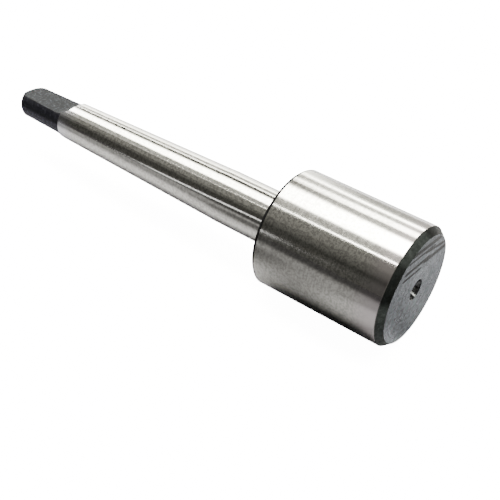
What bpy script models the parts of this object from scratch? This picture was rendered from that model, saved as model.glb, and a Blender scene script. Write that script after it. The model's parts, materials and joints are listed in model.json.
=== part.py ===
"""Live centre: a Morse taper No. 1 arbor that carries a plain rotating head.

The arbor is fixed in a tailstock and does not turn. Its front end is a stepped
spindle inside the head. The head turns on three bearings round that spindle: a
deep-groove ball bearing behind, a thrust ball bearing in the middle and a drawn-cup
needle bearing in front. A ring screwed into the back of the head closes it.

The axis of the tool is X. The taper's gauge plane is x = 0, the head is towards +X
and the tang's two flats face +Z and -Z. Sizes are in millimetres.
"""
import math

import bmesh
import bpy

MM = 0.001

# Facets round a turned piece
OUTER_FACETS = 48
INNER_FACETS = 32
SMALL_FACETS = 12

# Clearance between two faces that touch on the real tool
GAP = 0.1

# How far a cutter runs past the piece it cuts
OVERCUT = 1.0

# Morse taper No. 1, form with a tang
GAUGE_RADIUS = 12.065 / 2
TAPER_PER_MM = 0.04988 / 2
TAPER_LENGTH = 47.4
TANG_END = -62.0
TANG_RADIUS = 8.6 / 2
TANG_HALF_THICKNESS = 5.2 / 2
TANG_CORNER = 2.0
TANG_FLAT_END = -49.1
TANG_CUTTER_RADIUS = 5.0
TANG_CUTTER_RISE = 3.0
SMALL_END_CHAMFER = 0.15

# Parallel collar between the taper and the head
COLLAR_RADIUS = 6.1
HEAD_BACK = 18.0

# Head
HEAD_RADIUS = 13.3
HEAD_LENGTH = 31.1
HEAD_FRONT = HEAD_BACK + HEAD_LENGTH
FACE_RADIUS = 12.0
FRONT_CHAMFER = 1.5
BACK_CHAMFER = 0.5
BORE_CHAMFER = 0.3
CENTRE_HOLE_RADIUS = 2.35
CENTRE_PILOT_RADIUS = 1.0
CENTRE_PILOT_LENGTH = 1.5
HALF_COUNTERSINK = math.radians(30)
HALF_DRILL_POINT = math.radians(59)

# Retaining ring, recessed into the back of the head
RING_RECESS = 0.5
RING_BACK = HEAD_BACK + RING_RECESS
RING_FRONT = RING_BACK + 4.0
RING_WALL = 1.2
SPANNER_HOLES = 4
SPANNER_HOLE_RADIUS = 0.75
SPANNER_HOLE_DEPTH = 2.0
SPANNER_HOLE_PITCH_RADIUS = 9.8

# Lip seal inside the ring
SEAL_RADIUS = 8.5
SEAL_BACK = RING_BACK + RING_WALL + GAP
SEAL_WALL = 0.6
SEAL_LIP_WALL = 0.4

# Deep-groove ball bearing, 10 x 22 x 6
BALL_BEARING_BACK = 23.3
BALL_BEARING_WIDTH = 6.0
BALL_BEARING_BORE = 5.0 + GAP
BALL_BEARING_OUTSIDE = 11.0
INNER_RACE_LAND = 6.95
OUTER_RACE_LAND = 9.05
BALL_RADIUS = 3.175 / 2
BALL_PITCH_RADIUS = 8.0
BALL_COUNT = 9
RUNNING_GAP = 0.12
BALL_CAGE_BACK = -2.4
BALL_CAGE_FRONT = 0.7
BALL_CAGE_INNER = 7.35
BALL_CAGE_OUTER = 8.65

# Wave spring between the ring and the outer race
WAVE_INNER = 9.3
WAVE_OUTER = 10.8
WAVE_THICKNESS = 0.25
WAVE_HEIGHT = 0.15
WAVES = 3
WAVE_FACETS = 36

# Circlip that holds the inner race
CIRCLIP_BACK = 29.4
CIRCLIP_THICKNESS = 1.0
CIRCLIP_INNER = 4.75
CIRCLIP_OUTER = 6.2
CIRCLIP_LUG = 7.3
CIRCLIP_HALF_OPENING = math.radians(22)
CIRCLIP_LUG_ANGLE = math.radians(20)
CIRCLIP_HOLE_RADIUS = 0.55
CIRCLIP_GROOVE = 4.6
CIRCLIP_FACETS = 28

# Thrust ball bearing, 8 x 16 x 5
THRUST_BACK = 31.1
THRUST_WIDTH = 5.0
THRUST_WASHER = 1.5
THRUST_OUTSIDE = 8.0
THRUST_BALL_RADIUS = 2.381 / 2
THRUST_PITCH_RADIUS = 6.0
THRUST_BALL_COUNT = 10
THRUST_CAGE_INNER = 4.2
THRUST_CAGE_OUTER = 7.8
THRUST_CAGE_THICKNESS = 1.0

# Drawn-cup needle bearing, 6 x 10 x 6
NEEDLE_BACK = 36.7
NEEDLE_WIDTH = 6.0
CUP_OUTSIDE = 4.95
CUP_WALL = 0.35
CUP_LIP_RADIUS = 3.4
ROLLER_RADIUS = 0.725
ROLLER_LENGTH = 4.0
ROLLER_PITCH_RADIUS = 3.77
ROLLER_COUNT = 10
ROLLER_CHAMFER = 0.15
NEEDLE_CAGE_INNER = 3.4
NEEDLE_CAGE_OUTER = 4.15

# Stepped spindle, from the collar forwards
BALL_JOURNAL = 5.0
BALL_JOURNAL_END = 31.0
THRUST_JOURNAL = 3.95
THRUST_JOURNAL_END = 36.4
NEEDLE_JOURNAL = 2.95
SPINDLE_END = 42.8
SPINDLE_CHAMFER = 0.4
GRINDING_CENTRE_RADIUS = 1.0

# Steps of the bore in the head
BORE_RADIUS = BALL_BEARING_OUTSIDE + GAP
BORE_END = BALL_BEARING_BACK + BALL_BEARING_WIDTH + GAP
THRUST_BORE_RADIUS = THRUST_OUTSIDE + GAP
THRUST_BORE_END = THRUST_BACK + THRUST_WIDTH + GAP
NEEDLE_BORE_RADIUS = CUP_OUTSIDE + GAP
NEEDLE_BORE_END = 43.1


def clear_scene():
    for existing in list(bpy.data.objects):
        bpy.data.objects.remove(existing, do_unlink=True)


def make_material(name, colour, metallic, roughness):
    material = bpy.data.materials.new(name)
    material.use_nodes = True
    shader = material.node_tree.nodes["Principled BSDF"]
    shader.inputs["Base Color"].default_value = (*colour, 1.0)
    shader.inputs["Metallic"].default_value = metallic
    shader.inputs["Roughness"].default_value = roughness
    return material


def place(name, mesh, material, parent=None, location=(0.0, 0.0, 0.0)):
    """Put a mesh in the scene as one named, smooth-shaded object; location is in millimetres."""
    placed = bpy.data.objects.new(name, mesh)
    bpy.context.scene.collection.objects.link(placed)
    if not mesh.materials:
        mesh.materials.append(material)
        mesh.shade_smooth()
        mesh.set_sharp_from_angle(angle=math.radians(30))
    placed.location = [MM * value for value in location]
    placed.parent = parent
    return placed


def mesh_from(name, work):
    """Turn a bmesh into a mesh whose faces point outwards."""
    bmesh.ops.recalc_face_normals(work, faces=work.faces)
    mesh = bpy.data.meshes.new(name)
    work.to_mesh(mesh)
    work.free()
    return mesh


def turned_mesh(name, outline, facets):
    """Turn an outline of (x, radius) points round the X axis.

    An outline that starts and ends on the axis makes a solid piece. Any other outline is
    closed from its last point to its first and makes a ring.
    """
    work = bmesh.new()
    angles = [2 * math.pi * step / facets for step in range(facets)]
    rings = []
    for x, radius in outline:
        if radius == 0:
            rings.append([work.verts.new((MM * x, 0, 0))])
        else:
            rings.append([
                work.verts.new((MM * x, MM * radius * math.cos(angle), MM * radius * math.sin(angle)))
                for angle in angles
            ])
    followers = rings[1:]
    if outline[0][1] > 0:
        followers = rings[1:] + rings[:1]
    for ring, follower in zip(rings, followers):
        for step in range(facets):
            following = (step + 1) % facets
            corners = [ring[step % len(ring)], ring[following % len(ring)]]
            corners += [follower[following % len(follower)], follower[step % len(follower)]]
            work.faces.new(list(dict.fromkeys(corners)))
    return mesh_from(name, work)


def turned(name, outline, material, facets=INNER_FACETS, parent=None):
    return place(name, turned_mesh(name, outline, facets), material, parent)


def arc(centre_x, centre_radius, radius, start_degrees, end_degrees, steps):
    """Points on an arc of a turned outline; 0 degrees is towards +X, 90 is away from the axis."""
    points = []
    for step in range(steps + 1):
        angle = math.radians(start_degrees + (end_degrees - start_degrees) * step / steps)
        points.append((centre_x + radius * math.cos(angle), centre_radius + radius * math.sin(angle)))
    return points


def axis_empty(name, x, parent=None):
    """An empty on the tool's axis that carries the pieces of one moving body."""
    empty = bpy.data.objects.new(name, None)
    empty.empty_display_size = 5 * MM
    bpy.context.scene.collection.objects.link(empty)
    empty.location = (MM * x, 0, 0)
    empty.parent = parent
    return empty


def on_circle(radius, count):
    """Angles and (y, z) places of pieces spaced evenly round the axis."""
    for step in range(count):
        angle = 2 * math.pi * step / count
        yield angle, (radius * math.cos(angle), radius * math.sin(angle))


def cylinder_cutter(name, x_start, x_end, radius, centres, sides=SMALL_FACETS):
    """Cylinders along X at the given (y, z) centres, joined in one cutter."""
    work = bmesh.new()
    for y, z in centres:
        ends = []
        for x in (x_start, x_end):
            ends.append([
                work.verts.new((
                    MM * x,
                    MM * (y + radius * math.cos(2 * math.pi * side / sides)),
                    MM * (z + radius * math.sin(2 * math.pi * side / sides)),
                ))
                for side in range(sides)
            ])
        near, far = ends
        work.faces.new(near)
        work.faces.new(far)
        for side in range(sides):
            following = (side + 1) % sides
            work.faces.new([near[side], near[following], far[following], far[side]])
    return as_cutter(name, work)


def as_cutter(name, work):
    cutter = bpy.data.objects.new(name, mesh_from(name, work))
    bpy.context.scene.collection.objects.link(cutter)
    cutter.hide_render = True
    cutter.display_type = "WIRE"
    return cutter


def cut(piece, cutter):
    modifier = piece.modifiers.new("cut_" + cutter.name, "BOOLEAN")
    modifier.operation = "DIFFERENCE"
    modifier.solver = "EXACT"
    modifier.object = cutter


def tang_cutter(side):
    """What a form cutter mills away beyond one flat of the tang; side is +1 or -1 along Z."""
    arc_centre = TANG_HALF_THICKNESS + TANG_CUTTER_RADIUS
    end_of_arc = math.degrees(math.asin(1 - TANG_CUTTER_RISE / TANG_CUTTER_RADIUS))
    start = TANG_END - OVERCUT
    top = GAUGE_RADIUS + OVERCUT
    half_width = GAUGE_RADIUS + OVERCUT
    profile = [(start, TANG_HALF_THICKNESS)]
    profile += arc(TANG_FLAT_END, arc_centre, TANG_CUTTER_RADIUS, -90, -end_of_arc, 8)
    profile += [(profile[-1][0], top), (start, top)]
    work = bmesh.new()
    near = [work.verts.new((MM * x, -MM * half_width, MM * side * z)) for x, z in profile]
    far = [work.verts.new((MM * x, MM * half_width, MM * side * z)) for x, z in profile]
    work.faces.new(near)
    work.faces.new(far)
    for step in range(len(profile)):
        following = (step + 1) % len(profile)
        work.faces.new([near[step], near[following], far[following], far[step]])
    return as_cutter("tang_cutter_%+d" % side, work)


def taper_arbor(material):
    """Tang, Morse taper, collar and stepped spindle in one piece."""
    grinding_centre = GRINDING_CENTRE_RADIUS / math.tan(HALF_COUNTERSINK)
    small_end = -TAPER_LENGTH
    small_radius = GAUGE_RADIUS - TAPER_PER_MM * TAPER_LENGTH
    outline = [(TANG_END + grinding_centre, 0), (TANG_END, GRINDING_CENTRE_RADIUS)]
    outline += arc(TANG_END + TANG_CORNER, TANG_RADIUS - TANG_CORNER, TANG_CORNER, 180, 90, 5)
    outline += [
        (small_end, small_radius - SMALL_END_CHAMFER),
        (small_end + SMALL_END_CHAMFER, small_radius),
        (0, GAUGE_RADIUS),
        (COLLAR_RADIUS - GAUGE_RADIUS, COLLAR_RADIUS),
        (BALL_BEARING_BACK - GAP, COLLAR_RADIUS),
        (BALL_BEARING_BACK - GAP, BALL_JOURNAL),
        (CIRCLIP_BACK - GAP, BALL_JOURNAL),
        (CIRCLIP_BACK - GAP, CIRCLIP_GROOVE),
        (CIRCLIP_BACK + CIRCLIP_THICKNESS + GAP, CIRCLIP_GROOVE),
        (CIRCLIP_BACK + CIRCLIP_THICKNESS + GAP, BALL_JOURNAL),
        (BALL_JOURNAL_END, BALL_JOURNAL),
        (BALL_JOURNAL_END, THRUST_JOURNAL),
        (THRUST_JOURNAL_END, THRUST_JOURNAL),
        (THRUST_JOURNAL_END, NEEDLE_JOURNAL),
        (SPINDLE_END - SPINDLE_CHAMFER, NEEDLE_JOURNAL),
        (SPINDLE_END, NEEDLE_JOURNAL - SPINDLE_CHAMFER),
        (SPINDLE_END, GRINDING_CENTRE_RADIUS),
        (SPINDLE_END - grinding_centre, 0),
    ]
    arbor = turned("taper_arbor", outline, material, OUTER_FACETS)
    for side in (1, -1):
        cut(arbor, tang_cutter(side))


def rotating_head(material, axis):
    """Cup with a stepped bore behind and a 60 degree centre hole in its front face."""
    countersink_end = HEAD_FRONT - (CENTRE_HOLE_RADIUS - CENTRE_PILOT_RADIUS) / math.tan(HALF_COUNTERSINK)
    pilot_end = countersink_end - CENTRE_PILOT_LENGTH
    outline = [
        (NEEDLE_BORE_END, 0),
        (NEEDLE_BORE_END, NEEDLE_BORE_RADIUS),
        (THRUST_BORE_END, NEEDLE_BORE_RADIUS),
        (THRUST_BORE_END, THRUST_BORE_RADIUS),
        (BORE_END, THRUST_BORE_RADIUS),
        (BORE_END, BORE_RADIUS),
        (HEAD_BACK + BORE_CHAMFER, BORE_RADIUS),
        (HEAD_BACK, BORE_RADIUS + BORE_CHAMFER),
        (HEAD_BACK, HEAD_RADIUS - BACK_CHAMFER),
        (HEAD_BACK + BACK_CHAMFER, HEAD_RADIUS),
        (HEAD_FRONT - FRONT_CHAMFER, HEAD_RADIUS),
        (HEAD_FRONT, FACE_RADIUS),
        (HEAD_FRONT, CENTRE_HOLE_RADIUS),
        (countersink_end, CENTRE_PILOT_RADIUS),
        (pilot_end, CENTRE_PILOT_RADIUS),
        (pilot_end - CENTRE_PILOT_RADIUS / math.tan(HALF_DRILL_POINT), 0),
    ]
    turned("rotating_head", shifted(outline, axis), material, OUTER_FACETS, axis)


def shifted(outline, axis):
    """An outline measured from a body's empty instead of from the gauge plane."""
    origin = axis.location.x / MM
    return [(x - origin, radius) for x, radius in outline]


def retaining_ring(material, axis):
    """Screwed ring with holes for a pin spanner and a pocket for the lip seal."""
    bore = COLLAR_RADIUS + 3 * GAP
    pocket = SEAL_RADIUS + GAP
    outside = BORE_RADIUS - 1.5 * GAP
    outline = [
        (RING_BACK, bore),
        (RING_BACK, outside),
        (RING_FRONT, outside),
        (RING_FRONT, pocket),
        (RING_BACK + RING_WALL, pocket),
        (RING_BACK + RING_WALL, bore),
    ]
    ring = turned("retaining_ring", shifted(outline, axis), material, OUTER_FACETS, axis)
    centres = [centre for angle, centre in on_circle(SPANNER_HOLE_PITCH_RADIUS, SPANNER_HOLES)]
    start = RING_BACK - OVERCUT
    end = RING_BACK + SPANNER_HOLE_DEPTH
    cut(ring, cylinder_cutter("spanner_hole_cutter", start, end, SPANNER_HOLE_RADIUS, centres))


def lip_seal(material, axis):
    """Rubber ring whose lip runs on the arbor's collar."""
    lip = COLLAR_RADIUS + GAP
    front = RING_FRONT - GAP
    outline = [
        (SEAL_BACK, lip + SEAL_LIP_WALL),
        (SEAL_BACK, SEAL_RADIUS),
        (front, SEAL_RADIUS),
        (front, SEAL_RADIUS - SEAL_WALL),
        (SEAL_BACK + SEAL_WALL, SEAL_RADIUS - SEAL_WALL),
        (SEAL_BACK + SEAL_WALL, lip + 2 * SEAL_LIP_WALL),
        (front - 2 * SEAL_LIP_WALL, lip + SEAL_LIP_WALL),
        (front - 3 * SEAL_LIP_WALL, lip),
    ]
    turned("lip_seal", shifted(outline, axis), material, INNER_FACETS, axis)


def wave_spring(material, axis):
    """Thin wavy washer that preloads the outer race."""
    middle = (RING_FRONT + BALL_BEARING_BACK) / 2 - axis.location.x / MM
    work = bmesh.new()
    sections = []
    for step in range(WAVE_FACETS):
        angle = 2 * math.pi * step / WAVE_FACETS
        x = middle + WAVE_HEIGHT * math.cos(WAVES * angle)
        corners = [(-WAVE_THICKNESS / 2, WAVE_INNER), (WAVE_THICKNESS / 2, WAVE_INNER)]
        corners += [(WAVE_THICKNESS / 2, WAVE_OUTER), (-WAVE_THICKNESS / 2, WAVE_OUTER)]
        sections.append([
            work.verts.new((MM * (x + dx), MM * radius * math.cos(angle), MM * radius * math.sin(angle)))
            for dx, radius in corners
        ])
    for section, following in zip(sections, sections[1:] + sections[:1]):
        for side in range(4):
            after = (side + 1) % 4
            work.faces.new([section[side], section[after], following[after], following[side]])
    place("wave_spring", mesh_from("wave_spring", work), material, axis)


def ball_bearing_races(material, axis):
    """Inner race on the spindle and outer race in the head, each with its ball groove."""
    start = BALL_BEARING_BACK
    end = start + BALL_BEARING_WIDTH
    middle = (start + end) / 2
    groove = BALL_RADIUS + RUNNING_GAP
    inner_edge = math.degrees(math.asin((BALL_PITCH_RADIUS - INNER_RACE_LAND) / groove))
    outer_edge = math.degrees(math.asin((OUTER_RACE_LAND - BALL_PITCH_RADIUS) / groove))
    inner = [(start, BALL_BEARING_BORE), (start, INNER_RACE_LAND)]
    inner += arc(middle, BALL_PITCH_RADIUS, groove, 180 + inner_edge, 360 - inner_edge, 5)
    inner += [(end, INNER_RACE_LAND), (end, BALL_BEARING_BORE)]
    turned("ball_bearing_inner_race", inner, material)
    outer = [(start, BALL_BEARING_OUTSIDE), (start, OUTER_RACE_LAND)]
    outer += arc(middle, BALL_PITCH_RADIUS, groove, 180 - outer_edge, outer_edge, 5)
    outer += [(end, OUTER_RACE_LAND), (end, BALL_BEARING_OUTSIDE)]
    turned("ball_bearing_outer_race", shifted(outer, axis), material, INNER_FACETS, axis)


def circlip(material):
    """Open snap ring with two lugs, in the groove in front of the inner race."""
    work = bmesh.new()
    sections = []
    for step in range(CIRCLIP_FACETS + 1):
        angle = CIRCLIP_HALF_OPENING + (2 * math.pi - 2 * CIRCLIP_HALF_OPENING) * step / CIRCLIP_FACETS
        from_end = min(angle, 2 * math.pi - angle) - CIRCLIP_HALF_OPENING
        outer = CIRCLIP_LUG if from_end < CIRCLIP_LUG_ANGLE else CIRCLIP_OUTER
        corners = [(CIRCLIP_BACK, CIRCLIP_INNER), (CIRCLIP_BACK + CIRCLIP_THICKNESS, CIRCLIP_INNER)]
        corners += [(CIRCLIP_BACK + CIRCLIP_THICKNESS, outer), (CIRCLIP_BACK, outer)]
        sections.append([
            work.verts.new((MM * x, MM * radius * math.cos(angle), MM * radius * math.sin(angle)))
            for x, radius in corners
        ])
    for section, following in zip(sections, sections[1:]):
        for side in range(4):
            after = (side + 1) % 4
            work.faces.new([section[side], section[after], following[after], following[side]])
    work.faces.new(sections[0])
    work.faces.new(sections[-1])
    clip = place("inner_race_circlip", mesh_from("inner_race_circlip", work), material)
    hole_angle = CIRCLIP_HALF_OPENING + CIRCLIP_LUG_ANGLE / 2
    hole_radius = (CIRCLIP_INNER + CIRCLIP_LUG) / 2
    centres = [(hole_radius * math.cos(a), hole_radius * math.sin(a)) for a in (hole_angle, -hole_angle)]
    start = CIRCLIP_BACK - OVERCUT
    end = CIRCLIP_BACK + CIRCLIP_THICKNESS + OVERCUT
    cut(clip, cylinder_cutter("circlip_hole_cutter", start, end, CIRCLIP_HOLE_RADIUS, centres))


def balls(name, radius, pitch_radius, count, material, axis):
    """Loose balls, each an object of its own, spaced evenly in their cage."""
    work = bmesh.new()
    bmesh.ops.create_icosphere(work, subdivisions=2, radius=MM * radius)
    mesh = mesh_from(name, work)
    for number, (angle, (y, z)) in enumerate(on_circle(pitch_radius, count), start=1):
        place("%s_%d" % (name, number), mesh, material, axis, (0, y, z))


def ball_cage(material, axis):
    """Crown cage of the ball bearing: a ring with a round pocket for each ball."""
    outline = [(BALL_CAGE_BACK, BALL_CAGE_INNER), (BALL_CAGE_BACK, BALL_CAGE_OUTER)]
    outline += [(BALL_CAGE_FRONT, BALL_CAGE_OUTER), (BALL_CAGE_FRONT, BALL_CAGE_INNER)]
    cage = turned("ball_cage", outline, material, 4 * BALL_COUNT, axis)
    work = bmesh.new()
    for angle, (y, z) in on_circle(BALL_PITCH_RADIUS, BALL_COUNT):
        pocket = bmesh.ops.create_uvsphere(
            work, u_segments=SMALL_FACETS, v_segments=8, radius=MM * (BALL_RADIUS + RUNNING_GAP)
        )
        bmesh.ops.translate(work, verts=pocket["verts"], vec=(0, MM * y, MM * z))
    cutter = as_cutter("ball_pocket_cutter", work)
    cutter.parent = axis
    cut(cage, cutter)


def thrust_bearing_washers(material, axis):
    """Shaft washer against the spindle's shoulder and housing washer against the head's."""
    start = THRUST_BACK
    end = start + THRUST_WIDTH
    middle = (start + end) / 2
    groove = THRUST_BALL_RADIUS + RUNNING_GAP / 2
    lip = middle - start - THRUST_WASHER
    edge = math.degrees(math.asin(lip / groove))
    shaft_bore = THRUST_JOURNAL + GAP
    shaft = [(start, shaft_bore), (start, THRUST_OUTSIDE - 2 * GAP)]
    shaft += [(start + THRUST_WASHER, THRUST_OUTSIDE - 2 * GAP)]
    shaft += arc(middle, THRUST_PITCH_RADIUS, groove, 90 + edge, 270 - edge, 4)
    shaft += [(start + THRUST_WASHER, shaft_bore)]
    turned("thrust_shaft_washer", shaft, material)
    housing_bore = THRUST_JOURNAL + 3 * GAP
    housing = [(end, housing_bore), (end, THRUST_OUTSIDE), (end - THRUST_WASHER, THRUST_OUTSIDE)]
    housing += arc(middle, THRUST_PITCH_RADIUS, groove, 90 - edge, edge - 90, 4)
    housing += [(end - THRUST_WASHER, housing_bore)]
    turned("thrust_housing_washer", shifted(housing, axis), material, INNER_FACETS, axis)


def thrust_cage(material, axis):
    """Flat cage of the thrust bearing with one hole for each ball."""
    half = THRUST_CAGE_THICKNESS / 2
    outline = [(-half, THRUST_CAGE_INNER), (-half, THRUST_CAGE_OUTER)]
    outline += [(half, THRUST_CAGE_OUTER), (half, THRUST_CAGE_INNER)]
    cage = turned("thrust_cage", outline, material, INNER_FACETS, axis)
    centres = [centre for angle, centre in on_circle(THRUST_PITCH_RADIUS, THRUST_BALL_COUNT)]
    radius = THRUST_BALL_RADIUS + RUNNING_GAP
    reach = half + OVERCUT
    cutter = cylinder_cutter("thrust_pocket_cutter", -reach, reach, radius, centres)
    cutter.parent = axis
    cut(cage, cutter)


def needle_cup(material, axis):
    """Thin drawn cup pressed into the head, with a lip at each end that keeps the cage in."""
    start = NEEDLE_BACK
    end = start + NEEDLE_WIDTH
    inside = CUP_OUTSIDE - CUP_WALL
    outline = [
        (start, CUP_LIP_RADIUS),
        (start, CUP_OUTSIDE),
        (end, CUP_OUTSIDE),
        (end, CUP_LIP_RADIUS),
        (end - CUP_WALL, CUP_LIP_RADIUS),
        (end - CUP_WALL, inside),
        (start + CUP_WALL, inside),
        (start + CUP_WALL, CUP_LIP_RADIUS),
    ]
    turned("needle_cup", shifted(outline, axis), material, INNER_FACETS, axis)


def needle_cage(material, axis):
    """Tube with one long slot for each needle roller."""
    half = NEEDLE_WIDTH / 2 - CUP_WALL - 2 * GAP
    outline = [(-half, NEEDLE_CAGE_INNER), (-half, NEEDLE_CAGE_OUTER)]
    outline += [(half, NEEDLE_CAGE_OUTER), (half, NEEDLE_CAGE_INNER)]
    cage = turned("needle_cage", outline, material, 4 * ROLLER_COUNT, axis)
    half_slot = ROLLER_LENGTH / 2 + GAP
    half_width = ROLLER_RADIUS + GAP
    work = bmesh.new()
    for angle, centre in on_circle(ROLLER_PITCH_RADIUS, ROLLER_COUNT):
        box = bmesh.ops.create_cube(work, size=1.0)["verts"]
        for vert in box:
            x = 2 * half_slot * vert.co.x
            radius = ROLLER_PITCH_RADIUS + 2 * vert.co.y
            sideways = 2 * half_width * vert.co.z
            y = radius * math.cos(angle) - sideways * math.sin(angle)
            z = radius * math.sin(angle) + sideways * math.cos(angle)
            vert.co = (MM * x, MM * y, MM * z)
    cutter = as_cutter("needle_slot_cutter", work)
    cutter.parent = axis
    cut(cage, cutter)


def needle_rollers(material, axis):
    half = ROLLER_LENGTH / 2
    end_radius = ROLLER_RADIUS - ROLLER_CHAMFER
    outline = [(-half, 0), (-half, end_radius), (ROLLER_CHAMFER - half, ROLLER_RADIUS)]
    outline += [(half - ROLLER_CHAMFER, ROLLER_RADIUS), (half, end_radius), (half, 0)]
    mesh = turned_mesh("needle_roller", outline, SMALL_FACETS)
    for number, (angle, (y, z)) in enumerate(on_circle(ROLLER_PITCH_RADIUS, ROLLER_COUNT), start=1):
        place("needle_roller_%d" % number, mesh, material, axis, (0, y, z))


def main():
    clear_scene()
    ground_steel = make_material("ground_steel", (0.62, 0.63, 0.65), 1.0, 0.22)
    blued_steel = make_material("blued_steel", (0.20, 0.22, 0.26), 1.0, 0.35)
    bearing_steel = make_material("bearing_steel", (0.70, 0.70, 0.71), 1.0, 0.15)
    spring_steel = make_material("spring_steel", (0.25, 0.25, 0.27), 1.0, 0.40)
    pressed_steel = make_material("pressed_steel", (0.55, 0.55, 0.56), 1.0, 0.35)
    cage_brass = make_material("cage_brass", (0.72, 0.53, 0.25), 1.0, 0.35)
    seal_rubber = make_material("seal_rubber", (0.03, 0.03, 0.03), 0.0, 0.60)

    head_axis = axis_empty("head_axis", HEAD_BACK)
    ball_axis = axis_empty("ball_cage_axis", BALL_BEARING_BACK + BALL_BEARING_WIDTH / 2)
    thrust_axis = axis_empty("thrust_cage_axis", THRUST_BACK + THRUST_WIDTH / 2)
    needle_axis = axis_empty("needle_cage_axis", NEEDLE_BACK + NEEDLE_WIDTH / 2)

    taper_arbor(ground_steel)
    circlip(spring_steel)
    rotating_head(ground_steel, head_axis)
    retaining_ring(blued_steel, head_axis)
    lip_seal(seal_rubber, head_axis)
    wave_spring(spring_steel, head_axis)
    ball_bearing_races(bearing_steel, head_axis)
    ball_cage(cage_brass, ball_axis)
    balls("bearing_ball", BALL_RADIUS, BALL_PITCH_RADIUS, BALL_COUNT, bearing_steel, ball_axis)
    thrust_bearing_washers(bearing_steel, head_axis)
    thrust_cage(cage_brass, thrust_axis)
    balls(
        "thrust_ball", THRUST_BALL_RADIUS, THRUST_PITCH_RADIUS, THRUST_BALL_COUNT, bearing_steel, thrust_axis
    )
    needle_cup(pressed_steel, head_axis)
    needle_cage(pressed_steel, needle_axis)
    needle_rollers(bearing_steel, needle_axis)


main()
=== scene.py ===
"""Looks of the live centre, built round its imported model: ground shank and head, blued tang and face."""
import json
import math

import bmesh
import bpy
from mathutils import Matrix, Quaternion, Vector


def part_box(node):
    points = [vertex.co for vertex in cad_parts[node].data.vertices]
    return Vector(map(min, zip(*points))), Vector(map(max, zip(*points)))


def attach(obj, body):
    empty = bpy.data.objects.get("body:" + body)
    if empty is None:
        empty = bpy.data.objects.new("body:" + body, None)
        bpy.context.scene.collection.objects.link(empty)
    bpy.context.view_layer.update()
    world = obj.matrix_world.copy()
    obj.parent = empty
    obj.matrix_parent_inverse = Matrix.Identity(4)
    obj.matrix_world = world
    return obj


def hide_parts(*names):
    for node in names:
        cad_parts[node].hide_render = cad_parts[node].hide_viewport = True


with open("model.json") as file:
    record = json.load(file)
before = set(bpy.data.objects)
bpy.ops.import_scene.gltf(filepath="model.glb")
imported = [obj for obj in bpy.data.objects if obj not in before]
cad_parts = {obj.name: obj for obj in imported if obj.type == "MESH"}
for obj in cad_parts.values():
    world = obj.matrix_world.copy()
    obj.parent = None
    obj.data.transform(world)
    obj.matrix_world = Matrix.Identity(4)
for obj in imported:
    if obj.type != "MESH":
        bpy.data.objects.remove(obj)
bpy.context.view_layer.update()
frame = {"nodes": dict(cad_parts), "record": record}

MM = 0.001

# Places read from the frame, in millimetres
ARBOR_BOX = [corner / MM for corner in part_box("taper_arbor")]
HEAD_BOX = [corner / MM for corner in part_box("rotating_head")]
TANG_END = ARBOR_BOX[0].x
SPINDLE_END = ARBOR_BOX[1].x
HEAD_BACK = HEAD_BOX[0].x
HEAD_FRONT = HEAD_BOX[1].x
HEAD_RADIUS = HEAD_BOX[1].y

# Facets round a turned piece, and steps along a broken edge, the tang's end corner and the
# arc of the milling cutter
FACETS = 192
EDGE_STEPS = 3
TANG_CORNER_STEPS = 12
CUTTER_STEPS = 40

# Broken edges: the least turn of the outline that gets one, the most of a side that it takes,
# and the place of the holding point beside it, as a multiple of the round's reach
LEAST_TURN = math.radians(8)
MOST_OF_SIDE = 0.4
HOLDING = 1.2
ARBOR_EDGE = 0.08
HEAD_EDGE = 0.12

# Edges that turn more than this stay sharp in the shading
SHARP_TURN = math.radians(25)

# How far a cutter runs past the piece it cuts
OVERCUT = 1.0

# Half the angle of a centre drill's cone and of a twist drill's point
CENTRE_HALF_ANGLE = math.radians(30)
DRILL_HALF_ANGLE = math.radians(59)

# Morse taper No. 1
GAUGE_RADIUS = 12.065 / 2
TAPER_PER_MM = 0.04988 / 2
TAPER_LENGTH = 47.4
TANG_RADIUS = 8.6 / 2
TANG_CORNER = 2.0
TANG_HALF_THICKNESS = 5.2 / 2
TANG_FLAT_END = -49.1
TANG_CUTTER_RADIUS = 5.0
TANG_CUTTER_RISE = 3.0
SMALL_END_CHAMFER = 0.15

# Parallel collar, and the length over which the taper runs into it
COLLAR_RADIUS = 6.1
COLLAR_BLEND = 1.2

# Steps of the spindle, as (front end, radius)
BEARING_SEAT_START = 23.2
SPINDLE_STEPS = ((29.3, 5.0), (30.5, 4.6), (31.0, 5.0), (36.4, 3.95), (SPINDLE_END, 2.95))
GRINDING_CENTRE_RADIUS = 1.0

# Steps of the bore in the head, from its bottom to its mouth, as (front end, radius)
BORE_STEPS = ((43.1, 5.05), (36.2, 8.1), (29.4, 11.1))
FACE_RADIUS = 12.0
FRONT_CHAMFER = 1.5
BACK_CHAMFER = 0.5
BORE_CHAMFER = 0.3
# Width of the band on the head's back rim that is painted black as the shadow along the joint with the
# collar
RIM_BAND = 0.28
CENTRE_HOLE_RADIUS = 2.35
CENTRE_PILOT_RADIUS = 1.0
CENTRE_PILOT_LENGTH = 1.5

# Bright wear on the centre hole's mouth and down its cone, each as (x, radius, half width); the band down
# the cone also lets the glint show against the hole's painted shade
MOUTH_WEAR = (HEAD_FRONT, CENTRE_HOLE_RADIUS, 0.15)
CONE_WEAR = (HEAD_FRONT - 1.1, CENTRE_HOLE_RADIUS - 0.64, 1.8)

# Allowances when a face is told by its place, in millimetres, and by its normal
FACE_MARGIN = 0.02
CHAMFER_MARGIN = 0.05
BORE_MARGIN = 0.4
HOLE_MARGIN = 0.5
SIDEWAYS_NORMAL = 0.001
MILLED_NORMAL = 0.3

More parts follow.
